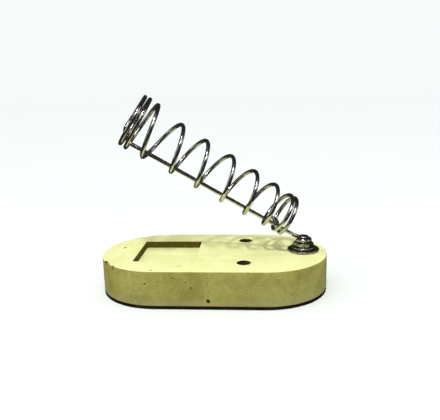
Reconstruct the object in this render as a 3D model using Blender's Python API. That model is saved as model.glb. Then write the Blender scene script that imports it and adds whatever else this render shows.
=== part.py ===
"""Soldering iron stand.

A cast base with round ends carries a sponge tray, two holes for spare tips and a screw stack. One length
of spring wire makes the holder: an eye round the screw, a straight arm, and a flared coil for the iron.
Origin: middle of the base's underside. +X along the base towards the screw, +Y away from the user, +Z up.
"""

import math

import bmesh
import bpy
from mathutils import Vector

# Clearance between pieces that touch each other
GAP = 0.0003
# How far a cutting shape reaches past the face it opens
OVERCUT = 0.0010
# Corners sharper than this stay crisp
SHARP_ANGLE = math.radians(35)
# Points nearer than this are the same point
MERGE_DISTANCE = 0.00001

# Base
BASE_LENGTH = 0.140
BASE_WIDTH = 0.076
BASE_HEIGHT = 0.0228
PAD_THICKNESS = 0.0015
BASE_EDGE = 0.0006
EDGE_SEGMENTS = 2
END_SEGMENTS = 24

# Sponge tray: a shallow pocket in the top
TRAY_CENTRE = (-0.0287, 0.0008)
TRAY_SIZE = (0.0375, 0.0416)
TRAY_DEPTH = 0.0046
TRAY_CORNER = 0.0012
TRAY_CORNER_SEGMENTS = 3

# Holes for spare tips
TIP_HOLES = ((0.0196, -0.0220), (0.0192, 0.0232))
TIP_HOLE_RADIUS = 0.0040
TIP_HOLE_DEPTH = 0.0150

# Screw stack: outer radius and thickness of each washer
SCREW_XY = (0.0559, 0.0025)
SCREW_RADIUS = 0.0025
HOLE_RADIUS = SCREW_RADIUS + GAP
COUNTERBORE_RADIUS = 0.0075
COUNTERBORE_DEPTH = 0.0080
SCREW_HEAD_RADIUS = 0.0047
SCREW_HEAD_HEIGHT = 0.0031
SCREW_HEAD_EASE = 0.0005
SCREW_WASHER = (0.0062, 0.0012)
PENNY_WASHER = (0.0098, 0.0012)
FLAT_WASHER = (0.0075, 0.0012)
NUT_ACROSS_FLATS = 0.0110
NUT_HEIGHT = 0.0023
NUT_CORNER_DROP = 0.0004
SCREW_END_RADIUS = 0.0034
SCREW_END_HEIGHT = 0.0011
SCREW_END_EASE = 0.0003
# Share of the end radius where the domed top begins, and where its flat crown begins
SCREW_END_SHOULDER = 0.75
SCREW_END_CROWN = 0.35
ROUND_SEGMENTS = 32

# Heights of the stack above the base, each piece resting on the one below
PENNY_WASHER_Z = BASE_HEIGHT + GAP
FLAT_WASHER_Z = PENNY_WASHER_Z + PENNY_WASHER[1] + GAP
NUT_Z = FLAT_WASHER_Z + FLAT_WASHER[1] + GAP
WIRE_RADIUS = 0.0012
EYE_Z = NUT_Z + NUT_HEIGHT + GAP + WIRE_RADIUS
SCREW_END_Z = EYE_Z + WIRE_RADIUS + GAP
COUNTERBORE_TOP = PAD_THICKNESS + GAP + COUNTERBORE_DEPTH

# Eye of the wire, round the screw
EYE_RADIUS = SCREW_RADIUS + GAP + WIRE_RADIUS
EYE_START = math.radians(5)
EYE_END = math.radians(270)
EYE_POINTS = 14

# Holder frame: +X outwards from the screw below the coil, +Y towards the user, origin at the eye
HEADING = math.radians(189.8)

# Arm: its straight line, and where along it the run from the eye and the bend into the mouth end
ARM_TILT = math.radians(31.8)
ARM_RISE = -0.0011
ARM_SIDE = -0.0025
ARM_FROM = 0.0095
ARM_TO = 0.1200
ARM_POINTS = 6
# How strongly the wire holds its direction as it leaves the eye, joins the arm and bends into the mouth
EYE_EXIT_SLOPE = (0.010, 0, 0.003)
ARM_JOIN_SLOPE = 0.010
MOUTH_BEND_SLOPES = (0.012, 0.008)
MOUTH_BEND_POINTS = 8

# Coil: the line through the centres of its turns
COIL_TILT = math.radians(33.9)
COIL_RISE = 0.0094
COIL_SIDE = -0.0015
COIL_PHASE = math.radians(24)
POINTS_PER_TURN = 18
# Share of a turn over which its slope is measured
SLOPE_STEP = 0.01

# For the top of each turn, from the mouth to the tail: its distance along the coil's line, the radius of
# the wire's centre line, and how far the lower half is drawn out to pass under the arm
COIL_TURNS = (
    (0.1212, 0.0146, 0.0014),
    (0.1181, 0.0149, 0.0014),
    (0.1120, 0.0145, 0.0022),
    (0.0938, 0.0121, 0.0032),
    (0.0769, 0.0119, 0.0031),
    (0.0591, 0.0122, 0.0021),
    (0.0423, 0.0119, 0.0018),
    (0.0272, 0.0116, 0.0015),
    (0.0158, 0.0111, 0.0015),
    (0.0128, 0.0111, 0.0013),
    (0.0050, 0.0111, 0.0010),
)
COIL_START = -0.40
MOUTH_END = 1.60
UPPER_END = 4.43
LOWER_END = 7.43
COIL_END = 9.43
# Length of the first and last step of a coil piece, as a share of a full step
SQUARED_STEP = 0.15

# Hook: three places on the free end, each a distance along the arm and an offset from the arm's centre line
HOOK_BESIDE = (0.0175, (0, -0.0033, 0))
HOOK_OVER = (0.0204, (0, 0, 0.0032))
HOOK_END = (0.0236, (0, 0.0012, 0.0036))
HOOK_TAKE_OFF = 0.009
HOOK_RISE_SLOPE = (0, 0, 0.004)
HOOK_OVER_SLOPE = (0.003, 0.003, 0.001)
HOOK_END_SLOPE = (0.003, 0, 0.002)
HOOK_POINTS = 4
HOOK_END_POINTS = 2


def clear_scene():
    for item in list(bpy.data.objects):
        bpy.data.objects.remove(item, do_unlink=True)


def material(name, colour, roughness, metallic):
    made = bpy.data.materials.new(name)
    made.use_nodes = True
    shader = made.node_tree.nodes["Principled BSDF"]
    shader.inputs["Base Color"].default_value = (*colour, 1.0)
    shader.inputs["Roughness"].default_value = roughness
    shader.inputs["Metallic"].default_value = metallic
    return made


def link(name, data, finish=None, location=(0, 0, 0)):
    made = bpy.data.objects.new(name, data)
    made.location = location
    if finish:
        data.materials.append(finish)
    bpy.context.scene.collection.objects.link(made)
    return made


def mesh_from(name, bm, smooth=True):
    bmesh.ops.recalc_face_normals(bm, faces=bm.faces)
    mesh = bpy.data.meshes.new(name)
    bm.to_mesh(mesh)
    bm.free()
    if smooth:
        mesh.shade_smooth()
        mesh.set_sharp_from_angle(angle=SHARP_ANGLE)
    return mesh


def arc(centre, radius, start, end, segments):
    steps = [start + (end - start) * i / segments for i in range(segments + 1)]
    return [
        (centre[0] + radius * math.cos(a), centre[1] + radius * math.sin(a))
        for a in steps
    ]


def stadium(length, width, segments):
    """Outline with straight sides and half-round ends."""
    radius = width / 2
    reach = length / 2 - radius
    quarter = math.pi / 2
    right = arc((reach, 0), radius, -quarter, quarter, segments)
    left = arc((-reach, 0), radius, quarter, 3 * quarter, segments)
    return right + left


def rounded_rectangle(centre, size, corner, segments):
    points = []
    for turn, (sx, sy) in enumerate(((1, 1), (-1, 1), (-1, -1), (1, -1))):
        middle = (
            centre[0] + sx * (size[0] / 2 - corner),
            centre[1] + sy * (size[1] / 2 - corner),
        )
        start = turn * math.pi / 2
        points += arc(middle, corner, start, start + math.pi / 2, segments)
    return points


def prism(outline, low, high, edge=0.0):
    """Solid with the given outline between two heights; its rims are rounded over by edge."""
    bm = bmesh.new()
    floor = bm.faces.new([bm.verts.new((x, y, low)) for x, y in outline])
    raised = bmesh.ops.extrude_face_region(bm, geom=[floor])
    top = [v for v in raised["geom"] if isinstance(v, bmesh.types.BMVert)]
    bmesh.ops.translate(bm, verts=top, vec=(0, 0, high - low))
    if edge:
        rims = [e for e in bm.edges if abs(e.verts[0].co.z - e.verts[1].co.z) < edge]
        bmesh.ops.bevel(
            bm, geom=rims, offset=edge, segments=EDGE_SEGMENTS, profile=0.5, affect="EDGES"
        )
    return bm


def turned(profile, segments=ROUND_SEGMENTS):
    """Round solid about Z from a profile of (radius, height) points."""
    bm = bmesh.new()
    verts = [bm.verts.new((r, 0, z)) for r, z in profile]
    edges = [bm.edges.new(pair) for pair in zip(verts, verts[1:])]
    if profile[0][0] > 0:
        edges.append(bm.edges.new((verts[-1], verts[0])))
    bmesh.ops.spin(
        bm,
        geom=verts + edges,
        cent=(0, 0, 0),
        axis=(0, 0, 1),
        angle=2 * math.pi,
        steps=segments,
        use_merge=True,
    )
    bmesh.ops.remove_doubles(bm, verts=bm.verts, dist=MERGE_DISTANCE)
    return bm


def cutter(name, bm, location=(0, 0, 0)):
    made = link(name, mesh_from(name, bm, smooth=False), location=location)
    made.hide_render = True
    made.display_type = "WIRE"
    return made


def cut(target, tool, operation="DIFFERENCE"):
    change = target.modifiers.new(tool.name, "BOOLEAN")
    change.operation = operation
    change.object = tool
    change.solver = "EXACT"


def make_base_block(finish):
    low = PAD_THICKNESS + GAP
    outline = stadium(BASE_LENGTH, BASE_WIDTH, END_SEGMENTS)
    mesh = mesh_from("base_block", prism(outline, low, BASE_HEIGHT, BASE_EDGE))
    block = link("base_block", mesh, finish)
    above = BASE_HEIGHT + OVERCUT

    tray = rounded_rectangle(
        TRAY_CENTRE, TRAY_SIZE, TRAY_CORNER, TRAY_CORNER_SEGMENTS
    )
    cut(block, cutter("tray_cutter", prism(tray, BASE_HEIGHT - TRAY_DEPTH, above)))

    for number, centre in enumerate(TIP_HOLES, 1):
        circle = arc(centre, TIP_HOLE_RADIUS, 0, 2 * math.pi, END_SEGMENTS)[:-1]
        hole = prism(circle, BASE_HEIGHT - TIP_HOLE_DEPTH, above)
        cut(block, cutter(f"tip_hole_cutter_{number}", hole))

    below = low - OVERCUT
    bore = turned(
        (
            (0, below),
            (COUNTERBORE_RADIUS, below),
            (COUNTERBORE_RADIUS, COUNTERBORE_TOP),
            (HOLE_RADIUS, COUNTERBORE_TOP),
            (HOLE_RADIUS, above),
            (0, above),
        )
    )
    cut(block, cutter("screw_hole_cutter", bore, (*SCREW_XY, 0)))


def make_base_pad(finish):
    outline = stadium(BASE_LENGTH, BASE_WIDTH, END_SEGMENTS)
    link("base_pad", mesh_from("base_pad", prism(outline, 0, PAD_THICKNESS)), finish)


def make_washer(name, size, low, finish):
    """Plain washer with its rim eased, round the screw."""
    outer, thickness = size
    ease = thickness / 5
    profile = (
        (HOLE_RADIUS, 0),
        (outer - ease, 0),
        (outer, ease),
        (outer, thickness - ease),
        (outer - ease, thickness),
        (HOLE_RADIUS, thickness),
    )
    link(name, mesh_from(name, turned(profile)), finish, (*SCREW_XY, low))


def make_lock_nut(finish):
    """Hexagon with its corners turned off top and bottom, bored for the screw."""
    corner = NUT_ACROSS_FLATS / math.sqrt(3)
    hexagon = arc((0, 0), corner, 0, 2 * math.pi, 6)[:-1]
    nut = link(
        "lock_nut",
        mesh_from("lock_nut", prism(hexagon, 0, NUT_HEIGHT)),
        finish,
        (*SCREW_XY, NUT_Z),
    )
    flat = NUT_ACROSS_FLATS / 2
    rim = corner + OVERCUT / 10
    blank = turned(
        (
            (HOLE_RADIUS, 0),
            (flat, 0),
            (rim, NUT_CORNER_DROP),
            (rim, NUT_HEIGHT - NUT_CORNER_DROP),
            (flat, NUT_HEIGHT),
            (HOLE_RADIUS, NUT_HEIGHT),
        )
    )
    cut(nut, cutter("nut_blank", blank, nut.location), "INTERSECT")


def make_clamp_screw(finish):
    """Screw from below, its upper end closed over the eye of the wire."""
    washer_low = COUNTERBORE_TOP - GAP - SCREW_WASHER[1]
    seat = washer_low - GAP
    head = seat - SCREW_HEAD_HEIGHT
    ease = SCREW_HEAD_EASE
    crown = SCREW_END_Z + SCREW_END_HEIGHT
    profile = (
        (0, head),
        (SCREW_HEAD_RADIUS - ease, head),
        (SCREW_HEAD_RADIUS, head + ease),
        (SCREW_HEAD_RADIUS, seat),
        (SCREW_RADIUS, seat),
        (SCREW_RADIUS, SCREW_END_Z),
        (SCREW_END_RADIUS - SCREW_END_EASE, SCREW_END_Z),
        (SCREW_END_RADIUS, SCREW_END_Z + SCREW_END_EASE),
        (SCREW_END_RADIUS * SCREW_END_SHOULDER, crown - SCREW_END_EASE),
        (SCREW_END_RADIUS * SCREW_END_CROWN, crown),
        (0, crown),
    )
    mesh = mesh_from("clamp_screw", turned(profile))
    link("clamp_screw", mesh, finish, (*SCREW_XY, 0))
    make_washer("screw_washer", SCREW_WASHER, washer_low, finish)


def hermite(start, start_slope, end, end_slope, steps):
    """Points of a smooth run between two places, without the first one."""
    points = []
    for i in range(1, steps + 1):
        t = i / steps
        points.append(
            start * (2 * t**3 - 3 * t**2 + 1)
            + start_slope * (t**3 - 2 * t**2 + t)
            + end * (3 * t**2 - 2 * t**3)
            + end_slope * (t**3 - t**2)
        )
    return points


def arm_direction():
    return Vector((math.cos(ARM_TILT), 0, math.sin(ARM_TILT)))


def arm_point(distance):
    return Vector((0, ARM_SIDE, ARM_RISE)) + distance * arm_direction()


def turn_value(turn, column):
    """Smooth value of one column of COIL_TURNS at a fractional turn."""
    last = len(COIL_TURNS) - 1
    low = min(max(math.floor(turn), 0), last - 1)
    rows = [COIL_TURNS[min(max(low + k, 0), last)][column] for k in (-1, 0, 1, 2)]
    before, start, end, after = rows
    t = turn - low
    if t < 0:
        return start + (end - start) * t
    slope_in = (end - before) / 2 if low > 0 else end - start
    slope_out = (after - start) / 2 if low + 1 < last else end - start
    return (
        start * (2 * t**3 - 3 * t**2 + 1)
        + slope_in * (t**3 - 2 * t**2 + t)
        + end * (3 * t**2 - 2 * t**3)
        + slope_out * (t**3 - t**2)
    )


def coil_point(turn):
    """Centre of the wire at a turn number: whole numbers are near the tops, and odd halves near the arm."""
    angle = 2 * math.pi * turn + COIL_PHASE
    along = turn_value(turn, 0)
    lower = ((1 - math.cos(angle)) / 2) ** 2
    radius = turn_value(turn, 1) + turn_value(turn, 2) * lower
    outward = Vector((math.cos(COIL_TILT), 0, math.sin(COIL_TILT)))
    upward = Vector((-math.sin(COIL_TILT), 0, math.cos(COIL_TILT)))
    centre = Vector((0, COIL_SIDE, COIL_RISE)) + along * outward
    side = Vector((0, 1, 0))
    return centre + radius * (math.cos(angle) * upward + math.sin(angle) * side)


def coil_slope(turn):
    return (coil_point(turn + SLOPE_STEP) - coil_point(turn - SLOPE_STEP)) / (2 * SLOPE_STEP)


def coil_points(start, end):
    """Points along the coil; a short first and last step keep the cut ends square to the wire."""
    steps = round((end - start) * POINTS_PER_TURN)
    marks = [0, SQUARED_STEP, *range(1, steps), steps - SQUARED_STEP, steps]
    return [coil_point(start + (end - start) * mark / steps) for mark in marks]


def eye_points():
    """Open ring round the screw, from its cut end to where the arm leaves it."""
    points = []
    for i in range(EYE_POINTS + 1):
        angle = EYE_START + (EYE_END - EYE_START) * i / EYE_POINTS
        points.append(
            Vector((EYE_RADIUS * math.cos(angle), EYE_RADIUS * math.sin(angle), 0))
        )
    return points


def arm_points():
    eye = eye_points()
    near = arm_point(ARM_FROM)
    leaving = Vector(EYE_EXIT_SLOPE)
    joining = arm_direction() * ARM_JOIN_SLOPE
    run = hermite(eye[-1], leaving, near, joining, ARM_POINTS)
    far = arm_point(ARM_TO)
    straight = [near.lerp(far, i / ARM_POINTS) for i in range(1, ARM_POINTS + 1)]
    return eye + run + straight


def mouth_points():
    """Bend from the end of the arm, then the closed turns at the mouth."""
    start = arm_point(ARM_TO + GAP)
    turn = coil_slope(COIL_START).normalized()
    leaving, joining = MOUTH_BEND_SLOPES
    bend = hermite(
        start,
        arm_direction() * leaving,
        coil_point(COIL_START),
        turn * joining,
        MOUTH_BEND_POINTS,
    )
    return [start] + bend + coil_points(COIL_START, MOUTH_END)[1:]


def tail_points():
    """Closed turns at the tail, and the free end hooked over the arm."""
    turns = coil_points(LOWER_END + turn_gap(LOWER_END), COIL_END)
    beside, over, end = [
        arm_point(distance) + Vector(offset)
        for distance, offset in (HOOK_BESIDE, HOOK_OVER, HOOK_END)
    ]
    take_off = coil_slope(COIL_END).normalized() * HOOK_TAKE_OFF
    up = Vector(HOOK_RISE_SLOPE)
    across = Vector(HOOK_OVER_SLOPE)
    rise = hermite(turns[-1], take_off, beside, up, HOOK_POINTS)
    curl = hermite(beside, up, over, across, HOOK_POINTS)
    tip = hermite(over, across, end, Vector(HOOK_END_SLOPE), HOOK_END_POINTS)
    return turns + rise + curl + tip


def turn_gap(turn):
    """Share of a turn that leaves the clearance between two lengths of the wire."""
    return GAP / coil_slope(turn).length


def make_wire(name, points, finish):
    """Round rod along the points, carried by the holder's pivot."""
    data = bpy.data.curves.new(name, "CURVE")
    data.dimensions = "3D"
    data.bevel_depth = WIRE_RADIUS
    data.bevel_resolution = 2
    data.use_fill_caps = True
    spline = data.splines.new("POLY")
    spline.points.add(len(points) - 1)
    for target, place in zip(spline.points, points):
        target.co = (*place, 1)
    made = link(name, data, finish, (*SCREW_XY, EYE_Z))
    made.rotation_euler = (0, 0, HEADING)


def make_holder(finish):
    make_wire("holder_arm", arm_points(), finish)
    make_wire("coil_mouth", mouth_points(), finish)
    upper = coil_points(MOUTH_END + turn_gap(MOUTH_END), UPPER_END)
    make_wire("coil_upper_turns", upper, finish)
    lower = coil_points(UPPER_END + turn_gap(UPPER_END), LOWER_END)
    make_wire("coil_lower_turns", lower, finish)
    make_wire("coil_tail", tail_points(), finish)


def main():
    clear_scene()
    cast = material("cast_base", (0.80, 0.74, 0.42), 0.75, 0.0)
    rubber = material("black_rubber", (0.02, 0.02, 0.02), 0.8, 0.0)
    wire = material("plated_wire", (0.62, 0.61, 0.57), 0.15, 1.0)
    steel = material("plated_steel", (0.35, 0.34, 0.32), 0.3, 1.0)
    make_base_block(cast)
    make_base_pad(rubber)
    make_clamp_screw(steel)
    make_washer("penny_washer", PENNY_WASHER, PENNY_WASHER_Z, steel)
    make_washer("flat_washer", FLAT_WASHER, FLAT_WASHER_Z, steel)
    make_lock_nut(steel)
    make_holder(wire)


main()
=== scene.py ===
"""Looks of the soldering iron stand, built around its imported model."""

import math

import bmesh
import bpy
from mathutils import Matrix, Vector, noise


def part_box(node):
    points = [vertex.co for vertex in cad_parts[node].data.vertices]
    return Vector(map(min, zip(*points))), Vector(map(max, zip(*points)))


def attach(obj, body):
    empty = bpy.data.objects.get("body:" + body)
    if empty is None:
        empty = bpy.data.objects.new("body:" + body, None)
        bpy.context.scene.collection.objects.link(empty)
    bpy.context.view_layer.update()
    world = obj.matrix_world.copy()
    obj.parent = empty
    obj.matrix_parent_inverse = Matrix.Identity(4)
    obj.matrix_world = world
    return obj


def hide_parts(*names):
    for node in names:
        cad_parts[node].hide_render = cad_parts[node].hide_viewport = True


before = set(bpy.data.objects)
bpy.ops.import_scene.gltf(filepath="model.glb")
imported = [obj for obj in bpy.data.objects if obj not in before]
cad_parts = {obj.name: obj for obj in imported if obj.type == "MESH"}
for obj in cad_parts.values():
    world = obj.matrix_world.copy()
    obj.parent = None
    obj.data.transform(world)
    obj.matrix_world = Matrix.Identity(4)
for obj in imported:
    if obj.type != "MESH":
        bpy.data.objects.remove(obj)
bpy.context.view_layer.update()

MM = 0.001

# Base, in metres
BASE_LENGTH = 0.140
BASE_WIDTH = 0.076
BASE_LOW = 0.0018
BASE_HIGH = 0.0228
BASE_REACH = (BASE_LENGTH - BASE_WIDTH) / 2
BASE_EDGE = 0.0006
EDGE_EASE = 0.3
SIDE_LEVELS = (0.009, 0.016)
END_SEGMENTS = 56
STRAIGHT_SEGMENTS = 28
SCREW_XY = (0.0559, 0.0025)
HOLE_RADIUS = 0.0028
HOLE_SEGMENTS = 40
HOLE_SPAN = (0.0, 0.03)
CAST_SHARP_ANGLE = 30

# Tray, from the top down: how far the wall is set in, its height and its corner radius
TRAY_CENTRE = (-0.0287, 0.0008)
TRAY_SIZE = (0.0375, 0.0416)
TRAY_DEPTH = 0.0046
TRAY_FLOOR = BASE_HIGH - TRAY_DEPTH
TRAY_DRAFT = 0.0003
TRAY_SECTION = (
    (-0.0004, BASE_HIGH + 0.0006, 0.0016),
    (-0.0003, BASE_HIGH + 0.0001, 0.0015),
    (0.0, BASE_HIGH - 0.0003, 0.0013),
    (TRAY_DRAFT, TRAY_FLOOR + 0.0005, 0.0012),
    (TRAY_DRAFT + 0.00015, TRAY_FLOOR + 0.00015, 0.0010),
    (TRAY_DRAFT + 0.0005, TRAY_FLOOR, 0.0009),
)
TRAY_CORNER_SEGMENTS = 8

# Tip holes, from the top down: radius and height
TIP_HOLES = ((0.0196, -0.0220), (0.0192, 0.0232))
TIP_HOLE_RADIUS = 0.0040
TIP_HOLE_DEPTH = 0.0150
TIP_HOLE_FLOOR = BASE_HIGH - TIP_HOLE_DEPTH
TIP_HOLE_SECTION = (
    (TIP_HOLE_RADIUS + 0.0003, BASE_HIGH + 0.0004),
    (TIP_HOLE_RADIUS + 0.00025, BASE_HIGH),
    (TIP_HOLE_RADIUS, BASE_HIGH - 0.0003),
    (TIP_HOLE_RADIUS, TIP_HOLE_FLOOR + 0.0012),
    (0.0006, TIP_HOLE_FLOOR),
)
TIP_HOLE_SEGMENTS = 48

# The top face and the middle of each round end, in millimetres, for the marks below
TOP_MM = 22.8
END_CENTRE_MM = 32

# Pits in the casting: x, y, z and radius, in millimetres
PITS = (
    (-58.4, 7.0, TOP_MM, 1.00),
    (-16.8, -12.6, TOP_MM, 0.85),
    (-18.0, -28.6, TOP_MM, 0.45),
    (-33.1, -35.5, TOP_MM, 0.80),
    (34.0, -8.0, TOP_MM, 0.40),
    (-4.0, 28.0, TOP_MM, 0.45),
    (41.0, 24.0, TOP_MM, 0.50),
    (-36.6, -37.7, 15.3, 0.60),
    (-44.2, -36.0, 10.4, 0.42),
    (-20.3, -38.0, 18.8, 0.52),
    (-10.0, -38.0, 13.2, 0.60),
    (-12.6, -38.0, 16.2, 0.40),
    (-0.3, -38.0, 5.2, 1.25),
    (-31.0, -38.0, 12.6, 0.35),
    (-0.2, -38.0, 18.9, 0.40),
    (21.5, -38.0, 9.5, 0.40),
    (31.0, -38.0, 15.0, 0.35),
    (47.0, -35.0, 8.0, 0.45),
    (-25.0, 38.0, 9.0, 0.60),
    (6.0, 38.0, 16.0, 0.70),
    (28.0, 38.0, 7.0, 0.45),
    (60.5, 25.2, 14.0, 0.50),
    (69.2, 7.7, 8.0, 0.55),
    (-69.0, 9.2, 12.0, 0.60),
    (-61.0, 24.6, 17.0, 0.45),
)
# Chips along the top edge: place on the rim as (x, y) and size, in millimetres
CHIPS = (
    (-64.3, -20.0, 1.50),
    (-63.0, -22.1, 1.90),
    (-61.5, -24.1, 1.40),
    (-57.2, -28.4, 0.90),
    (66.0, -17.0, 0.40),
    (69.7, 4.5, 0.50),
    (48.0, 34.5, 0.80),
    (-27.0, 38.0, 0.60),
    (-62.0, 23.5, 0.85),
)
# How each mark is drawn out along X, Y and Z, and the seeds of its lumps
TOP_PIT_SHAPE = (1.0, 1.0, 0.55)
SIDE_PIT_SHAPE = (1.0, 0.7, 1.0)
PIT_SEED_STEP = 3.1
CHIP_SHAPE = (1.2, 1.0, 0.8)
CHIP_OFFSET = 0.28
CHIP_SEED_START = 50
CHIP_SEED_STEP = 2.3
# Lumps of a mark: scale of the noise and share of the radius
COARSE_LUMPS = (1.7, 0.45)
FINE_LUMPS = (4.1, 0.18)

# Crack that runs down from a chip on the left front edge, in millimetres
CRACK_TOP = (-57.2, -28.4, 23.4)
CRACK_DROP = 4.6
CRACK_LEAN = 0.10
CRACK_SWAY = 0.5
CRACK_BENDS = 5
CRACK_HALF_WIDTH = 0.42
CRACK_TAPER = 0.70
CRACK_DEPTH_RATIO = 3
CRACK_SIDES = 6
CRACK_STEPS = 8
# How far inside the outer surface a face has to lie to count as part of a hollow, in metres
PAINT_MARGIN = 0.00012

# Tones of the casting, then layers over them: mask, where each starts and is full, strength, tone.
# The side tones and their layers are painted shade, much darker than the top.
SHADED_SIDE_TONES = ((0.262, 0.234, 0.032), (0.343, 0.315, 0.058))
SHADED_SIDE_LAYERS = (
    ("patch", 0.40, 0.66, 0.60, (0.39, 0.366, 0.092)),
    ("mottle", 0.50, 0.72, 0.75, (0.20, 0.170, 0.022)),
    ("mottle", 0.44, 0.28, 0.60, (0.45, 0.425, 0.135)),
    ("grain", 0.52, 0.70, 0.25, (0.18, 0.150, 0.024)),
)
SPECK_TONE = (0.12, 0.10, 0.02)
FOOT_TONE = (0.43, 0.40, 0.165)
TOP_TONES = ((0.83, 0.85, 0.37), (0.85, 0.88, 0.42))
TOP_LAYERS = (
    ("patch", 0.50, 0.75, 0.50, (0.86, 0.89, 0.47)),
    ("mottle", 0.58, 0.80, 0.22, (0.70, 0.68, 0.24)),
    ("grain", 0.60, 0.78, 0.14, (0.66, 0.62, 0.24)),
)
# Painted shade: dark tones for the walls of the tray, and darker ones for the tip holes, the screw
# hole, the pits, the chips and the crack.
TRAY_WALL_SHADE_TONES = ((0.13, 0.105, 0.008), (0.09, 0.07, 0.005))
PIT_SHADE_TONES = ((0.07, 0.055, 0.012), (0.03, 0.024, 0.008))

STEEL_SHARP_ANGLE = 40

# Washers: outer radius, thickness and lower face, then the shape of their rims
PENNY_WASHER = (0.0098, 0.0012, 0.0231)
FLAT_WASHER = (0.0075, 0.0012, 0.0246)
PENNY_WASHER_DISH = 0.00008
FLAT_WASHER_DISH = 0.00005
WASHER_SEGMENTS = 96
WASHER_ROLL = 0.42
WASHER_ROLL_STEPS = 6
WASHER_DISH_STEPS = 5
WASHER_BURR = (0.00015, 0.0002)
WASHER_LOWER_EASE = 0.0002
WASHER_UPPER_EASE = 0.0003

# Nut: its corners are cut back by a cone at both ends
NUT_ACROSS_FLATS = 0.0110
NUT_HEIGHT = 0.0023
NUT_Z = 0.0261
NUT_SIDE_STEPS = 12
NUT_LEVELS = 9
NUT_CONE_SLOPE = math.tan(math.radians(30))
NUT_UPPER_CUT = 1.6
NUT_LOWER_CUT = 0.7
NUT_FACE_EASE = 0.965
NUT_BORE_EASE = 0.0004
NUT_MERGE_DISTANCE = 0.000005
NUT_SHARP_ANGLE = 28

# Screw: its head below, its thread, and its end, closed over the wire's eye
SCREW_RADIUS = 0.0025
SCREW_SEGMENTS = 48
SCREW_HEAD_RADIUS = 0.0047
SCREW_HEAD_HEIGHT = 0.0031
SCREW_HEAD_EASE = 0.0005
THREAD_PITCH = 0.0008
THREAD_LOW = 0.0225
THREAD_ROOT = 0.00205
THREAD_DEPTH = 0.00045
THREAD_CREST = 1.25
THREAD_STEPS_PER_PITCH = 10
EYE_Z = 0.0299
SCREW_END_Z = 0.0314
THREAD_HIGH = SCREW_END_Z - 0.0001
SCREW_END_RADIUS = 0.0034
SCREW_END_DENTS = 5
SCREW_END_DENT_DEPTH = 0.035
SCREW_END_DENT_TURN = 0.8

# Wire, in the holder's own frame: +X outwards under the coil, +Y towards the user
WIRE_RADIUS = 0.0012
WIRE_SIDES = 20
WIRE_CHAMFER = 0.00025
WIRE_UV_SCALE = 30
WIRE_SMOOTHINGS = 3
WIRE_SHARP_ANGLE = 35
HEADING = math.radians(189.8)
EYE_RADIUS = 0.0040
EYE_FROM = math.radians(5)
EYE_TO = math.radians(270)
EYE_STEPS = 44
EYE_EXIT_SLOPE = (0.010, 0, 0.003)
ARM_JOIN_SLOPE = 0.010
ARM_JOIN_STEPS = 20
ARM_TILT = math.radians(31.8)
ARM_RISE = -0.0011
ARM_SIDE = -0.0025
ARM_FROM = 0.0095
ARM_TO = 0.1200
ARM_STEPS = 60
MOUTH_BEND_SLOPES = (0.012, 0.008)
MOUTH_BEND_STEPS = 22
COIL_TILT = math.radians(33.9)
COIL_RISE = 0.0094
COIL_SIDE = -0.0015
COIL_PHASE = math.radians(24)
COIL_START = -0.40
COIL_END = 9.43
COIL_STEPS = 48
SLOPE_STEP = 0.01
# Each turn: its distance along the coil, its radius, and how far its lower half hangs
COIL_TURNS = (
    (0.1212, 0.0146, 0.0014),
    (0.1181, 0.0149, 0.0014),
    (0.1120, 0.0145, 0.0022),
    (0.0938, 0.0121, 0.0032),
    (0.0769, 0.0119, 0.0031),
    (0.0591, 0.0122, 0.0021),
    (0.0423, 0.0119, 0.0018),
    (0.0272, 0.0116, 0.0015),
    (0.0158, 0.0111, 0.0015),
    (0.0128, 0.0111, 0.0013),
    (0.0050, 0.0111, 0.0010),
)
# Hook: three places on the free end, each a distance along the arm and an offset from it
HOOK_BESIDE = (0.0175, (0, -0.0033, 0))
HOOK_OVER = (0.0204, (0, 0, 0.0032))
HOOK_END = (0.0236, (0, 0.0012, 0.0036))
HOOK_TAKE_OFF = 0.009
HOOK_UP_SLOPE = (0, 0, 0.004)
HOOK_LEAN_SLOPE = (0.003, 0.003, 0.001)
HOOK_END_SLOPE = (0.003, 0, 0.002)
HOOK_STEPS = 12
HOOK_END_STEPS = 6

# Camera, in metres and radians, then the floor's half size and the tones of the room and of the
# backdrop
CAMERA_PLACE = (0.0317, -0.3189, 0.1259)
CAMERA_YAW = -0.085
CAMERA_PITCH = -0.2345
CAMERA_ROLL = -0.0249
CAMERA_LENS_MM = 43.6
CAMERA_SENSOR_MM = 36
FLOOR_HALF_SIZE = 4
ROOM_TONE = (0.035, 0.035, 0.035, 1)
BACKDROP_TONE = (0.923, 0.967, 0.958, 1)


# ---------------------------------------------------------------- node helpers


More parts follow.
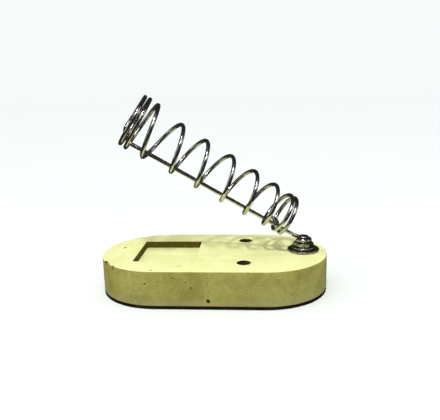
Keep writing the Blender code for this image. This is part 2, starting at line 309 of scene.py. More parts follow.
class Graph:
    """Small helper for writing a material's nodes."""

    def __init__(self, name):
        self.material = bpy.data.materials.new(name)
        self.material.use_nodes = True
        self.tree = self.material.node_tree
        self.tree.nodes.clear()
        self.out = self.add("ShaderNodeOutputMaterial")
        self.shader = self.add("ShaderNodeBsdfPrincipled")
        self.link(self.shader.outputs[0], self.out.inputs[0])

    def add(self, kind, **values):
        node = self.tree.nodes.new(kind)
        for key, value in values.items():
            setattr(node, key, value)
        return node

    def link(self, source, target):
        self.tree.links.new(source, target)

    def coordinates(self, output="Object", stretch=(1, 1, 1)):
        found = self.add("ShaderNodeTexCoord").outputs[output]
        if stretch == (1, 1, 1):
            return found
        mapping = self.add("ShaderNodeMapping")
        mapping.inputs["Scale"].default_value = stretch
        self.link(found, mapping.inputs["Vector"])
        return mapping.outputs[0]

    def noise(self, vector, scale, detail, rough=0.55, distortion=0.0):
        node = self.add("ShaderNodeTexNoise")
        self.link(vector, node.inputs["Vector"])
        node.inputs["Scale"].default_value = scale
        node.inputs["Detail"].default_value = detail
        node.inputs["Roughness"].default_value = rough
        node.inputs["Distortion"].default_value = distortion
        return node.outputs["Fac"]

    def cells(self, vector, scale):
        node = self.add("ShaderNodeTexVoronoi")
        self.link(vector, node.inputs["Vector"])
        node.inputs["Scale"].default_value = scale
        return node.outputs["Distance"]

    def ramp(self, value, low, high, start=0.0, end=1.0):
        """Smooth change from start, where the value is low, to end, where it is high."""
        node = self.add("ShaderNodeMapRange", interpolation_type="SMOOTHSTEP")
        self.link(value, node.inputs["Value"])
        node.inputs["From Min"].default_value = low
        node.inputs["From Max"].default_value = high
        node.inputs["To Min"].default_value = start
        node.inputs["To Max"].default_value = end
        return node.outputs[0]

    def math(self, operation, a, b):
        node = self.add("ShaderNodeMath", operation=operation)
        self.link(a, node.inputs[0])
        self.link(b, node.inputs[1])
        return node.outputs[0]

    def mix(self, factor, a, b):
        node = self.add("ShaderNodeMix", data_type="RGBA")
        self.link(factor, node.inputs["Factor"])
        colours = [s for s in node.inputs if s.type == "RGBA"]
        for socket, value in zip(colours, (a, b)):
            if isinstance(value, tuple):
                socket.default_value = (*value, 1)
            else:
                self.link(value, socket)
        return [s for s in node.outputs if s.type == "RGBA"][0]

    def bump(self, height, distance, strength, after=None):
        node = self.add("ShaderNodeBump")
        node.inputs["Strength"].default_value = strength
        node.inputs["Distance"].default_value = distance
        self.link(height, node.inputs["Height"])
        if after is not None:
            self.link(after, node.inputs["Normal"])
        return node.outputs[0]


def cast_material():
    """Cream cast block: smooth pale top, and mottled sides with small stains, painted much darker
    than the top as painted shade.
    """
    g = Graph("cast_cream")
    where = g.coordinates()
    facing = g.add("ShaderNodeSeparateXYZ")
    g.link(g.coordinates("Normal"), facing.inputs[0])
    # Faces that point up take the top's tones, the others the much darker side tones: painted shade
    # on the sides.
    top = g.ramp(facing.outputs["Z"], 0.25, 0.75)
    height = g.add("ShaderNodeSeparateXYZ")
    g.link(where, height.inputs[0])
    masks = {
        "blotch": g.noise(where, scale=95, detail=5, rough=0.6, distortion=0.4),
        "patch": g.noise(where, scale=38, detail=3, rough=0.5, distortion=0.8),
        "grain": g.noise(where, scale=900, detail=3, rough=0.6),
        "mottle": g.noise(where, scale=330, detail=5, rough=0.68, distortion=1.2),
    }

    side = g.mix(g.ramp(masks["blotch"], 0.34, 0.66), *SHADED_SIDE_TONES)
    for mask, start, full, strength, tone in SHADED_SIDE_LAYERS:
        side = g.mix(g.ramp(masks[mask], start, full, 0, strength), side, tone)
    speck = g.ramp(g.cells(where, scale=190), 0.06, 0.16, 0.45, 0.0)
    side = g.mix(speck, side, SPECK_TONE)
    foot = g.ramp(height.outputs["Z"], 0.0022, 0.0080, 0.45, 0.0)
    side = g.mix(foot, side, FOOT_TONE)

    face = g.mix(g.ramp(masks["blotch"], 0.35, 0.65), *TOP_TONES)
    for mask, start, full, strength, tone in TOP_LAYERS:
        face = g.mix(g.ramp(masks[mask], start, full, 0, strength), face, tone)
    g.link(g.mix(top, side, face), g.shader.inputs["Base Color"])
    g.link(g.ramp(masks["blotch"], 0.3, 0.7, 0.48, 0.72), g.shader.inputs["Roughness"])
    coarse = g.bump(masks["patch"], 0.00035, 0.5)
    middle = g.bump(masks["blotch"], 0.00025, 0.5, coarse)
    g.link(g.bump(masks["grain"], 0.00006, 0.6, middle), g.shader.inputs["Normal"])
    return g.material


def hollow_shade_material(name, light, dark):
    """Painted shade in a recess: dark mottled casting tones."""
    g = Graph(name)
    mottle = g.noise(g.coordinates(), scale=240, detail=4, rough=0.6, distortion=0.4)
    g.link(g.mix(g.ramp(mottle, 0.35, 0.68), light, dark), g.shader.inputs["Base Color"])
    g.shader.inputs["Roughness"].default_value = 0.9
    g.shader.inputs["Specular IOR Level"].default_value = 0.15
    return g.material


def rubber_material():
    """Dull black rubber with a little grey dust."""
    g = Graph("black_rubber")
    where = g.coordinates()
    clean, dusty = (0.006, 0.006, 0.005), (0.024, 0.022, 0.018)
    dust = g.noise(where, scale=260, detail=4, rough=0.6)
    g.link(g.mix(g.ramp(dust, 0.45, 0.75), clean, dusty), g.shader.inputs["Base Color"])
    g.link(g.ramp(dust, 0.3, 0.7, 0.7, 0.92), g.shader.inputs["Roughness"])
    g.shader.inputs["Specular IOR Level"].default_value = 0.12
    grain = g.noise(where, scale=1600, detail=2)
    g.link(g.bump(grain, 0.00008, 0.6), g.shader.inputs["Normal"])
    return g.material


def wire_material():
    """Bright plated spring wire with fine drawing lines along its length and a few dull stains."""
    g = Graph("plated_wire")
    g.shader.inputs["Metallic"].default_value = 1.0
    bright, dull = (0.60, 0.59, 0.55), (0.34, 0.31, 0.24)
    lines = g.noise(g.coordinates("UV", (60, 3, 1)), scale=9, detail=3, rough=0.6)
    stain = g.noise(g.coordinates(), scale=170, detail=4, rough=0.6, distortion=0.5)
    g.link(g.mix(g.ramp(stain, 0.45, 0.72), bright, dull), g.shader.inputs["Base Color"])
    worn = g.ramp(stain, 0.40, 0.75, 0.10, 0.26)
    g.link(g.math("ADD", worn, g.ramp(lines, 0.4, 0.7, 0, 0.06)), g.shader.inputs["Roughness"])
    g.link(g.bump(lines, 0.00002, 0.35), g.shader.inputs["Normal"])
    return g.material


def steel_material():
    """Zinc plated hardware, gone grey, with fine grit and dark stains."""
    g = Graph("plated_steel")
    g.shader.inputs["Metallic"].default_value = 1.0
    where = g.coordinates()
    grey, stained = (0.42, 0.41, 0.385), (0.10, 0.09, 0.07)
    stain = g.noise(where, scale=320, detail=4, rough=0.65, distortion=0.6)
    grit = g.noise(where, scale=2200, detail=2, rough=0.6)
    g.link(g.mix(g.ramp(stain, 0.38, 0.68), grey, stained), g.shader.inputs["Base Color"])
    g.link(g.ramp(stain, 0.35, 0.70, 0.22, 0.48), g.shader.inputs["Roughness"])
    g.link(g.bump(grit, 0.00003, 0.5), g.shader.inputs["Normal"])
    return g.material


def floor_material():
    """Plain pale floor, barely uneven in tone."""
    g = Graph("pale_floor")
    soft = g.noise(g.coordinates(), scale=6, detail=2)
    tone = g.mix(soft, (0.836, 0.878, 0.868), (0.842, 0.884, 0.874))
    g.link(tone, g.shader.inputs["Base Color"])
    g.shader.inputs["Roughness"].default_value = 0.9
    return g.material


# ---------------------------------------------------------------- mesh helpers


def add_object(name, bm, material=None, angle=30):
    """Object from a bmesh, shaded smooth except across edges sharper than angle degrees."""
    bmesh.ops.recalc_face_normals(bm, faces=bm.faces)
    mesh = bpy.data.meshes.new(name)
    bm.to_mesh(mesh)
    bm.free()
    mesh.shade_smooth()
    mesh.set_sharp_from_angle(angle=math.radians(angle))
    made = bpy.data.objects.new(name, mesh)
    bpy.context.scene.collection.objects.link(made)
    if material:
        mesh.materials.append(material)
    return made


def arc(centre, radius, start, end, segments):
    """Points (x, y) along an arc, both ends included."""
    steps = [start + (end - start) * i / segments for i in range(segments + 1)]
    return [
        (centre[0] + radius * math.cos(a), centre[1] + radius * math.sin(a))
        for a in steps
    ]


def circle(centre, radius, z, segments):
    """Closed level ring of (x, y, z)."""
    return [(x, y, z) for x, y in arc(centre, radius, 0, 2 * math.pi, segments)[:-1]]


def stadium(inset, z):
    """Level ring round the base, set in from its outer wall."""
    radius = BASE_WIDTH / 2 - inset
    quarter = math.pi / 2
    count = STRAIGHT_SEGMENTS
    shifts = [2 * BASE_REACH * i / count for i in range(1, count)]
    points = arc((BASE_REACH, 0), radius, -quarter, quarter, END_SEGMENTS)
    points += [(BASE_REACH - shift, radius) for shift in shifts]
    points += arc((-BASE_REACH, 0), radius, quarter, 3 * quarter, END_SEGMENTS)
    points += [(-BASE_REACH + shift, -radius) for shift in shifts]
    return [(x, y, z) for x, y in points]


def rounded_rectangle(centre, size, corner, z, segments):
    """Level ring round a rectangle with rounded corners."""
    points = []
    for turn, (sx, sy) in enumerate(((1, 1), (-1, 1), (-1, -1), (1, -1))):
        middle = (
            centre[0] + sx * (size[0] / 2 - corner),
            centre[1] + sy * (size[1] / 2 - corner),
        )
        start = turn * math.pi / 2
        points += arc(middle, corner, start, start + math.pi / 2, segments)
    return [(x, y, z) for x, y in points]


def bridge(bm, rings):
    """Walls of four-sided faces between each ring of vertices and the next."""
    for low, high in zip(rings, rings[1:]):
        for i in range(len(low)):
            j = (i + 1) % len(low)
            bm.faces.new((low[i], low[j], high[j], high[i]))


def stack_rings(rings):
    """Capped shell through rings of equal point counts, each ring a list of (x, y, z)."""
    bm = bmesh.new()
    made = [[bm.verts.new(p) for p in ring] for ring in rings]
    bridge(bm, made)
    bm.faces.new(list(reversed(made[0])))
    bm.faces.new(made[-1])
    return bm


def turned(profile, segments):
    """Closed ring about Z from a closed profile of (radius, height)."""
    bm = bmesh.new()
    rings = []
    for i in range(segments):
        angle = 2 * math.pi * i / segments
        rings.append(
            [
                bm.verts.new((r * math.cos(angle), r * math.sin(angle), z))
                for r, z in profile
            ]
        )
    count = len(profile)
    for i in range(segments):
        here, after = rings[i], rings[(i + 1) % segments]
        for k in range(count):
            m = (k + 1) % count
            bm.faces.new((here[k], after[k], after[m], here[m]))
    return bm


def subtract(target, bm, name):
    """Cut a shape out of an object and apply the cut to its mesh."""
    tool = add_object(name, bm)
    change = target.modifiers.new(name, "BOOLEAN")
    change.operation = "DIFFERENCE"
    change.object = tool
    change.solver = "EXACT"
    change.use_self = True
    bpy.context.view_layer.update()
    evaluated = target.evaluated_get(bpy.context.evaluated_depsgraph_get())
    mesh = bpy.data.meshes.new_from_object(evaluated)
    target.modifiers.clear()
    old = target.data
    target.data = mesh
    bpy.data.meshes.remove(old)
    data = tool.data
    bpy.data.objects.remove(tool)
    bpy.data.meshes.remove(data)


# ---------------------------------------------------------------- the base


def blob(bm, place, radius, squash, seed):
    """Lumpy ball that bites an irregular pit."""
    made = bmesh.ops.create_icosphere(bm, subdivisions=3, radius=1.0)
    for vert in made["verts"]:
        lump = noise.noise(vert.co * COARSE_LUMPS[0] + Vector((seed, 0, 0)))
        fine = noise.noise(vert.co * FINE_LUMPS[0] + Vector((0, seed, 0)))
        size = radius * (1 + COARSE_LUMPS[1] * lump + FINE_LUMPS[1] * fine)
        offset = vert.co * size
        vert.co = Vector(
            (offset.x * squash[0], offset.y * squash[1], offset.z * squash[2])
        ) + Vector(place)


def surface_depth(place):
    """How far a place lies inside the plain outer surface of the base."""
    beyond = max(abs(place.x) - BASE_REACH, 0.0)
    radial = BASE_WIDTH / 2 - math.hypot(beyond, place.y)
    return min(radial, BASE_HIGH - place.z)


def paint_hollow_shade(mesh, tray_wall_shade, pit):
    """Paint the walls of the tray dark, and the tip holes, the pits and the chips darker still, as
    painted shade in these hollows.
    """
    mesh.materials.append(tray_wall_shade)
    mesh.materials.append(pit)
    rim = PAINT_MARGIN
    for face in mesh.polygons:
        place = face.center
        if surface_depth(place) < rim:
            continue
        across = abs(place.x - TRAY_CENTRE[0]) - TRAY_SIZE[0] / 2
        deep = abs(place.y - TRAY_CENTRE[1]) - TRAY_SIZE[1] / 2
        if max(across, deep) < rim * 4 and place.z > BASE_HIGH - TRAY_DEPTH - rim:
            face.material_index = 1 if face.normal.z < 0.5 else 0
        elif place.z > BASE_LOW + rim:
            face.material_index = 2


def marks():
    """Cutters for the pits and for the chips along the top edge, in one bmesh."""
    bm = bmesh.new()
    for number, (x, y, z, radius) in enumerate(PITS):
        shape = TOP_PIT_SHAPE if z == TOP_MM else SIDE_PIT_SHAPE
        blob(bm, (x * MM, y * MM, z * MM), radius * MM, shape, PIT_SEED_STEP * number)
    for number, (x, y, size) in enumerate(CHIPS):
        from_end = x - math.copysign(min(abs(x), END_CENTRE_MM), x)
        out = Vector((from_end, y, 0)).normalized()
        offset = (out + Vector((0, 0, 1))) * size * CHIP_OFFSET * MM
        place = Vector((x, y, TOP_MM)) * MM + offset
        blob(bm, place, size * MM, CHIP_SHAPE, CHIP_SEED_START + CHIP_SEED_STEP * number)
    return bm


def crack():
    """Thin tapering cutter that wanders down the side."""
    rings = []
    for step in range(CRACK_STEPS + 1):
        t = step / CRACK_STEPS
        x = (CRACK_TOP[0] + CRACK_SWAY * math.sin(CRACK_BENDS * t)) * MM
        y = (CRACK_TOP[1] - CRACK_LEAN * t) * MM
        z = (CRACK_TOP[2] - CRACK_DROP * t) * MM
        width = (CRACK_HALF_WIDTH * (1 - CRACK_TAPER * t)) * MM
        depth = CRACK_DEPTH_RATIO * width
        rings.append(
            [
                (x + width * math.cos(a), y + depth * math.sin(a), z)
                for a in (2 * math.pi * k / CRACK_SIDES for k in range(CRACK_SIDES))
            ]
        )
    return stack_rings(rings)


def base_casting(material, tray_wall_shade, pit):
    """Cast block with its tray, holes, pits, chips and crack."""
    ease = BASE_EDGE * EDGE_EASE
    outline = [
        (BASE_EDGE, BASE_LOW),
        (ease, BASE_LOW + ease),
        (0.0, BASE_LOW + BASE_EDGE),
        *((0.0, level) for level in SIDE_LEVELS),
        (0.0, BASE_HIGH - BASE_EDGE),
        (ease, BASE_HIGH - ease),
        (BASE_EDGE, BASE_HIGH),
    ]
    shell = stack_rings([stadium(inset, z) for inset, z in outline])
    body = add_object("base_casting", shell, material, CAST_SHARP_ANGLE)

    tray = []
    for inset, z, corner in TRAY_SECTION:
        size = (TRAY_SIZE[0] - 2 * inset, TRAY_SIZE[1] - 2 * inset)
        tray.append(rounded_rectangle(TRAY_CENTRE, size, corner, z, TRAY_CORNER_SEGMENTS))
    subtract(body, stack_rings(tray), "tray_cutter")

    for number, centre in enumerate(TIP_HOLES, 1):
        hole = [circle(centre, r, z, TIP_HOLE_SEGMENTS) for r, z in TIP_HOLE_SECTION]
        subtract(body, stack_rings(hole), f"tip_hole_cutter_{number}")

    screw = [circle(SCREW_XY, HOLE_RADIUS, z, HOLE_SEGMENTS) for z in HOLE_SPAN]
    subtract(body, stack_rings(screw), "screw_cutter")
    subtract(body, marks(), "pit_cutter")
    subtract(body, crack(), "crack_cutter")

    mesh = body.data
    mesh.shade_smooth()
    mesh.set_sharp_from_angle(angle=math.radians(CAST_SHARP_ANGLE))
    paint_hollow_shade(mesh, tray_wall_shade, pit)
    return body


# ---------------------------------------------------------------- the screw stack


def washer(name, size, dish, material):
    """Stamped washer: rounded upper rim, small burr below and a slightly hollow upper face."""
    outer, thickness, low = size
    roll = thickness * WASHER_ROLL
    burr_in, burr_up = WASHER_BURR
    inner = HOLE_RADIUS + WASHER_UPPER_EASE
    profile = []
    for i in range(WASHER_ROLL_STEPS + 1):
        a = math.pi / 2 * i / WASHER_ROLL_STEPS
        profile.append(
            (outer - roll + roll * math.sin(a), thickness - roll + roll * math.cos(a))
        )
    profile += [
        (outer, burr_up),
        (outer - burr_in, 0.0),
        (HOLE_RADIUS + WASHER_LOWER_EASE, 0.0),
        (HOLE_RADIUS, WASHER_LOWER_EASE),
        (HOLE_RADIUS, thickness - WASHER_UPPER_EASE),
        (inner, thickness),
    ]
    reach = outer - roll - inner
    for i in range(1, WASHER_DISH_STEPS):
        r = inner + reach * i / WASHER_DISH_STEPS
        sag = dish * math.sin(math.pi * i / WASHER_DISH_STEPS)
        profile.append((r, thickness - sag))
    shape = turned(profile, WASHER_SEGMENTS)
    made = add_object(name, shape, material, STEEL_SHARP_ANGLE)
    made.location = (*SCREW_XY, low)
    return made


def nut_corner_angles():
    """Angles of the points round the nut, evenly spread over its six sides."""
    return [
        math.pi / 3 * (side + step / NUT_SIDE_STEPS)
        for side in range(6)
        for step in range(NUT_SIDE_STEPS)
    ]


def lock_nut(material):
    """Thin hexagonal nut, open in the middle, with cone-cut corners."""
    flat = NUT_ACROSS_FLATS / 2
    rings = []
    for level in range(NUT_LEVELS):
        z = NUT_HEIGHT * level / (NUT_LEVELS - 1)
        ring = []
        for a in nut_corner_angles():
            radius = flat / math.cos((a % (math.pi / 3)) - math.pi / 6)
            cut = (radius - flat) * NUT_CONE_SLOPE * NUT_UPPER_CUT
            height = min(max(z, cut * NUT_LOWER_CUT), NUT_HEIGHT - cut)
            ring.append((radius * math.cos(a), radius * math.sin(a), height))
        rings.append(ring)
    eased = flat * NUT_FACE_EASE
    bearings = [math.atan2(y, x) for x, y, _ in rings[0]]
    loop = [
        [(radius * math.cos(a), radius * math.sin(a), z) for a in bearings]
        for radius, z in (
            (eased, NUT_HEIGHT),
            (HOLE_RADIUS + NUT_BORE_EASE, NUT_HEIGHT),
            (HOLE_RADIUS, NUT_HEIGHT - NUT_BORE_EASE),
            (HOLE_RADIUS, NUT_BORE_EASE),
            (HOLE_RADIUS + NUT_BORE_EASE, 0.0),
        )
    ]
    low_face = [(eased * math.cos(a), eased * math.sin(a), 0.0) for a in bearings]
    bm = bmesh.new()
    made = [[bm.verts.new(p) for p in ring] for ring in [low_face] + rings + loop]
    bridge(bm, made + made[:1])
    bmesh.ops.remove_doubles(bm, verts=bm.verts, dist=NUT_MERGE_DISTANCE)
    nut = add_object("hex_nut", bm, material, NUT_SHARP_ANGLE)
    nut.location = (*SCREW_XY, NUT_Z)
    return nut


def thread_ring(z):
    """Level ring round the thread, whose crest climbs one pitch in each turn."""
    ring = []
    for k in range(SCREW_SEGMENTS):
        a = 2 * math.pi * k / SCREW_SEGMENTS
        phase = (z / THREAD_PITCH - k / SCREW_SEGMENTS) % 1
        crest = abs(2 * phase - 1)
        radius = THREAD_ROOT + THREAD_DEPTH * min(1.0, crest * THREAD_CREST)
        ring.append((radius * math.cos(a), radius * math.sin(a), z))
    return ring


def dented_ring(radius, z):
    """Level ring round the closed end, dented inwards a few times."""
    ring = []
    for k in range(SCREW_SEGMENTS):
        a = 2 * math.pi * k / SCREW_SEGMENTS
        wave = 1 - math.sin(SCREW_END_DENTS * a + SCREW_END_DENT_TURN)
        dent = 1 - SCREW_END_DENT_DEPTH * wave * (radius / SCREW_END_RADIUS)
        ring.append((radius * dent * math.cos(a), radius * dent * math.sin(a), z))
    return ring


def clamp_screw(material):
    """Screw with its head below, a threaded shank, and its end peened over the wire's eye."""
    low, high = (corner.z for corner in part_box("clamp_screw"))
    head_top = low + SCREW_HEAD_HEIGHT
    rings = [
        circle((0, 0), radius, z, SCREW_SEGMENTS)
        for radius, z in (
            (SCREW_HEAD_RADIUS - SCREW_HEAD_EASE, low),
            (SCREW_HEAD_RADIUS, low + SCREW_HEAD_EASE),
            (SCREW_HEAD_RADIUS, head_top),
            (SCREW_RADIUS, head_top),
            (SCREW_RADIUS, THREAD_LOW),
        )
    ]
    span = THREAD_HIGH - THREAD_LOW
    steps = round(span / THREAD_PITCH * THREAD_STEPS_PER_PITCH)
    rings += [thread_ring(THREAD_LOW + span * step / steps) for step in range(1, steps)]
    rings += [
        dented_ring(radius, z)
        for radius, z in (
            (0.0031, SCREW_END_Z),
            (SCREW_END_RADIUS, SCREW_END_Z + 0.00025),
            (0.0033, SCREW_END_Z + 0.0005),
            (0.0029, high - 0.00022),
            (0.0021, high - 0.00006),
            (0.0012, high),
            (0.0008, high - 0.00015),
            (0.0004, high - 0.00025),
        )
    ]
    made = add_object("peened_screw", stack_rings(rings), material, STEEL_SHARP_ANGLE)
    made.location = (*SCREW_XY, 0)
    return made


# ---------------------------------------------------------------- the wire


def hermite(start, start_slope, end, end_slope, t):
    """Cubic from start at t = 0 to end at t = 1, with the slopes given there."""
    return (
        start * (2 * t**3 - 3 * t**2 + 1)
        + start_slope * (t**3 - 2 * t**2 + t)
        + end * (3 * t**2 - 2 * t**3)
        + end_slope * (t**3 - t**2)
    )


def join(start, start_slope, end, end_slope, steps):
    """Points along such a cubic, without its first point."""
    return [
        hermite(start, start_slope, end, end_slope, i / steps)
        for i in range(1, steps + 1)
    ]


def arm_direction():
    return Vector((math.cos(ARM_TILT), 0, math.sin(ARM_TILT)))


def arm_point(distance):
    return Vector((0, ARM_SIDE, ARM_RISE)) + distance * arm_direction()


def turn_value(turn, column):
    """Value of one column of COIL_TURNS at any turn, on a smooth curve through the rows."""
    last = len(COIL_TURNS) - 1
    low = min(max(math.floor(turn), 0), last - 1)
    rows = [COIL_TURNS[min(max(low + k, 0), last)][column] for k in (-1, 0, 1, 2)]
    before, start, end, after = rows
    t = turn - low
    if t < 0:
        return start + (end - start) * t
    slope_in = (end - before) / 2 if low > 0 else end - start
    slope_out = (after - start) / 2 if low + 1 < last else end - start
    return hermite(start, slope_in, end, slope_out, t)


def coil_point(turn):
    angle = 2 * math.pi * turn + COIL_PHASE
    along = turn_value(turn, 0)
    lower = ((1 - math.cos(angle)) / 2) ** 2
    radius = turn_value(turn, 1) + turn_value(turn, 2) * lower
    outward = Vector((math.cos(COIL_TILT), 0, math.sin(COIL_TILT)))
    upward = Vector((-math.sin(COIL_TILT), 0, math.cos(COIL_TILT)))
    centre = Vector((0, COIL_SIDE, COIL_RISE)) + along * outward
    side = Vector((0, 1, 0))
    return centre + radius * (math.cos(angle) * upward + math.sin(angle) * side)


def coil_slope(turn):
    ahead, behind = coil_point(turn + SLOPE_STEP), coil_point(turn - SLOPE_STEP)
    return (ahead - behind) / (2 * SLOPE_STEP)


def wire_route():
    """Centre line of the whole wire, from the cut end of the eye to the hooked free end."""
    eye = [
        Vector((x, y, 0)) for x, y in arc((0, 0), EYE_RADIUS, EYE_FROM, EYE_TO, EYE_STEPS)
    ]
    near, far = arm_point(ARM_FROM), arm_point(ARM_TO)
    join_slope = arm_direction() * ARM_JOIN_SLOPE
    run = join(eye[-1], Vector(EYE_EXIT_SLOPE), near, join_slope, ARM_JOIN_STEPS)
    straight = [near.lerp(far, i / ARM_STEPS) for i in range(1, ARM_STEPS + 1)]
    leave, enter = MOUTH_BEND_SLOPES
    bend = join(
        far,
        arm_direction() * leave,
        coil_point(COIL_START),
        coil_slope(COIL_START).normalized() * enter,
        MOUTH_BEND_STEPS,
    )
    turns = COIL_END - COIL_START
    steps = round(turns * COIL_STEPS)
    coil = [coil_point(COIL_START + turns * i / steps) for i in range(1, steps + 1)]
    beside, over, hook_end = [
        arm_point(distance) + Vector(offset)
        for distance, offset in (HOOK_BESIDE, HOOK_OVER, HOOK_END)
    ]
    take_off = coil_slope(COIL_END).normalized() * HOOK_TAKE_OFF
    up, lean, out = Vector(HOOK_UP_SLOPE), Vector(HOOK_LEAN_SLOPE), Vector(HOOK_END_SLOPE)
    rise = join(coil[-1], take_off, beside, up, HOOK_STEPS)
    curl = join(beside, up, over, lean, HOOK_STEPS)
    tip = join(over, lean, hook_end, out, HOOK_END_STEPS)
    points = eye + run + straight + bend + coil + rise + curl + tip
    for _ in range(WIRE_SMOOTHINGS):
        inner = [(a + 2 * b + c) / 4 for a, b, c in zip(points, points[1:], points[2:])]
        points = [points[0], *inner, points[-1]]
    place = Matrix.Translation((*SCREW_XY, EYE_Z)) @ Matrix.Rotation(HEADING, 4, "Z")
    return [place @ p for p in points]


def wire_rings(points):
    """Rings of points round the wire, each with its distance along the wire."""
    angles = [2 * math.pi * k / WIRE_SIDES for k in range(WIRE_SIDES)]
    last = len(points) - 1
    narrow = WIRE_RADIUS - WIRE_CHAMFER
    normal = (points[1] - points[0]).normalized().orthogonal().normalized()
    travelled = 0.0
    rings = []
    for i, point in enumerate(points):
        tangent = (points[min(i + 1, last)] - points[max(i - 1, 0)]).normalized()
        if i:
            travelled += (point - points[i - 1]).length
        normal = (normal - tangent * normal.dot(tangent)).normalized()
        across = tangent.cross(normal)
        sections = [(0.0, WIRE_RADIUS)]
        if i == 0:
            sections = [(0.0, narrow), (WIRE_CHAMFER, WIRE_RADIUS)]
        elif i == last:
            sections = [(-WIRE_CHAMFER, WIRE_RADIUS), (0.0, narrow)]
        for shift, radius in sections:
            centre = point + tangent * shift
            ring = [
                centre + radius * (normal * math.cos(a)) + radius * (across * math.sin(a))
                for a in angles
            ]
            rings.append((ring, travelled + shift))
    return rings


def bent_wire(material):
    """One tube along the whole route, with snipped and lightly chamfered ends."""
    bm = bmesh.new()
    uv = bm.loops.layers.uv.new("UVMap")
    rings = [
        ([bm.verts.new(p) for p in ring], length * WIRE_UV_SCALE)
        for ring, length in wire_rings(wire_route())
    ]
    for (ring, low), (following, high) in zip(rings, rings[1:]):
        for i in range(WIRE_SIDES):
            j = (i + 1) % WIRE_SIDES
            left, right = i / WIRE_SIDES, (i + 1) / WIRE_SIDES
            face = bm.faces.new((ring[i], ring[j], following[j], following[i]))
            spots = ((left, low), (right, low), (right, high), (left, high))
            for loop, spot in zip(face.loops, spots):
                loop[uv].uv = spot
    bm.faces.new(list(reversed(rings[0][0])))
    bm.faces.new(rings[-1][0])
    return add_object("bent_wire", bm, material, WIRE_SHARP_ANGLE)


# ---------------------------------------------------------------- stage


def make_camera():
    """Camera at the viewing angle, turned by its yaw, pitch and roll."""
    data = bpy.data.cameras.new("camera")
    data.sensor_width = CAMERA_SENSOR_MM
    data.lens = CAMERA_LENS_MM
    data.clip_start = 0.01
    data.clip_end = 50
    camera = bpy.data.objects.new("camera", data)
    bpy.context.scene.collection.objects.link(camera)
    level = math.cos(CAMERA_PITCH)
    ahead = Vector(
        (math.sin(CAMERA_YAW) * level, math.cos(CAMERA_YAW) * level, math.sin(CAMERA_PITCH))
    )
    right = Vector((math.cos(CAMERA_YAW), -math.sin(CAMERA_YAW), 0))
    above = right.cross(ahead)
    right, above = (
        math.cos(CAMERA_ROLL) * right + math.sin(CAMERA_ROLL) * above,
        -math.sin(CAMERA_ROLL) * right + math.cos(CAMERA_ROLL) * above,
    )
    turn = Matrix((right, above, -ahead)).transposed().to_4x4()
    camera.matrix_world = Matrix.Translation(CAMERA_PLACE) @ turn
    bpy.context.scene.camera = camera


def area_light(name, place, target, size, power, mirrored_only=False):
    """Soft box; a mirrored_only one shows in shiny surfaces but does not light dull ones."""
    data = bpy.data.lights.new(name, "AREA")
    data.shape = "RECTANGLE"
    data.size, data.size_y = size
    data.energy = power
    light = bpy.data.objects.new(name, data)
    light.location = place
    facing = Vector(target) - Vector(place)
    light.rotation_euler = facing.to_track_quat("-Z", "Y").to_euler()
    light.visible_diffuse = not mirrored_only
    bpy.context.scene.collection.objects.link(light)


def sky_light(name, lean, degrees, strength, mirrored=True):
    """Even overhead light; lean tips it off the vertical, and shiny surfaces may not show it."""
    data = bpy.data.lights.new(name, "SUN")
    data.angle = math.radians(degrees)
    data.energy = strength
    light = bpy.data.objects.new(name, data)
    light.rotation_euler = (*lean, 0)
    light.location = (0, 0, 1)
    light.visible_glossy = mirrored
    bpy.context.scene.collection.objects.link(light)


def make_world():
    """Pale backdrop for the camera, and a dark plain room for light and reflections."""
    world = bpy.data.worlds.new("studio")
    bpy.context.scene.world = world
    world.use_nodes = True
    tree = world.node_tree
    tree.nodes.clear()
    out = tree.nodes.new("ShaderNodeOutputWorld")
    mix = tree.nodes.new("ShaderNodeMixShader")
    path = tree.nodes.new("ShaderNodeLightPath")
    room = tree.nodes.new("ShaderNodeBackground")
    seen = tree.nodes.new("ShaderNodeBackground")
    room.inputs["Color"].default_value = ROOM_TONE
    seen.inputs["Color"].default_value = BACKDROP_TONE
    tree.links.new(path.outputs["Is Camera Ray"], mix.inputs[0])
    tree.links.new(room.outputs[0], mix.inputs[1])
    tree.links.new(seen.outputs[0], mix.inputs[2])
    tree.links.new(mix.outputs[0], out.inputs[0])


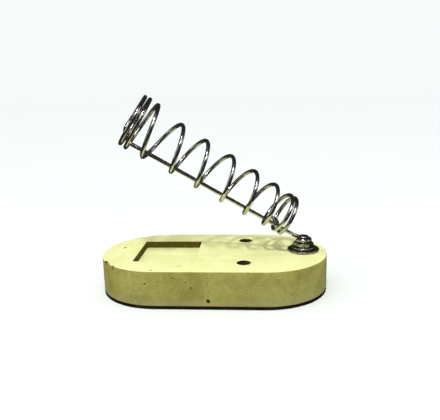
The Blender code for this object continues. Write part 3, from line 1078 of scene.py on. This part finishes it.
def make_stage():
    """Floor, lights and world, with plain colours in the picture."""
    bm = bmesh.new()
    bmesh.ops.create_grid(bm, x_segments=8, y_segments=8, size=FLOOR_HALF_SIZE)
    floor = add_object("floor", bm, floor_material())
    floor.visible_glossy = False

    sky_light("overhead_soft", (0.10, -0.12), 110, 2.04, mirrored=False)
    sky_light("overhead_key", (0.50, -0.06), 7, 1.80)
    area_light("glint_front", (0.05, -0.60, 0.62), (0, 0, 0.05), (0.60, 0.09), 1.5, True)
    area_light("glint_left", (-0.36, -0.55, 0.42), (0, 0, 0.05), (0.05, 0.40), 0.16, True)
    area_light("fill_left", (-0.55, -0.15, 0.22), (0, 0, 0.04), (0.25, 0.3), 0.34)
    area_light("fill_right", (0.60, -0.12, 0.22), (0, 0, 0.04), (0.25, 0.3), 0.38)

    make_world()
    view = bpy.context.scene.view_settings
    view.view_transform = "Standard"
    view.look = "None"


def carry(piece, body, slot, *nodes):
    """Give a piece its body and hide the CAD nodes that it stands for; the slot argument is not
    used.
    """
    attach(piece, body)
    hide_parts(*nodes)


def main():
    """Camera, materials, pieces and stage."""
    make_camera()
    cast = cast_material()
    rubber = rubber_material()
    wire = wire_material()
    steel = steel_material()
    # Painted shade for the tray walls and the other hollows of the casting.
    tray_wall_shade = hollow_shade_material("tray_wall_shade", *TRAY_WALL_SHADE_TONES)
    pit = hollow_shade_material("cast_pit_shade", *PIT_SHADE_TONES)

    carry(base_casting(cast, tray_wall_shade, pit), "base", "cast_base", "base_block")
    penny = washer("stamped_penny_washer", PENNY_WASHER, PENNY_WASHER_DISH, steel)
    carry(penny, "base", "plated_steel", "penny_washer")
    small = washer("stamped_flat_washer", FLAT_WASHER, FLAT_WASHER_DISH, steel)
    carry(small, "base", "plated_steel", "flat_washer")
    carry(lock_nut(steel), "base", "plated_steel", "lock_nut")
    carry(clamp_screw(steel), "base", "plated_steel", "clamp_screw")
    carry(
        bent_wire(wire),
        "holder",
        "plated_wire",
        "holder_arm",
        "coil_mouth",
        "coil_upper_turns",
        "coil_lower_turns",
        "coil_tail",
    )
    for name, finish in (("base_pad", rubber), ("screw_washer", steel)):
        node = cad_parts[name]
        node.data.materials.clear()
        node.data.materials.append(finish)

    make_stage()


main()
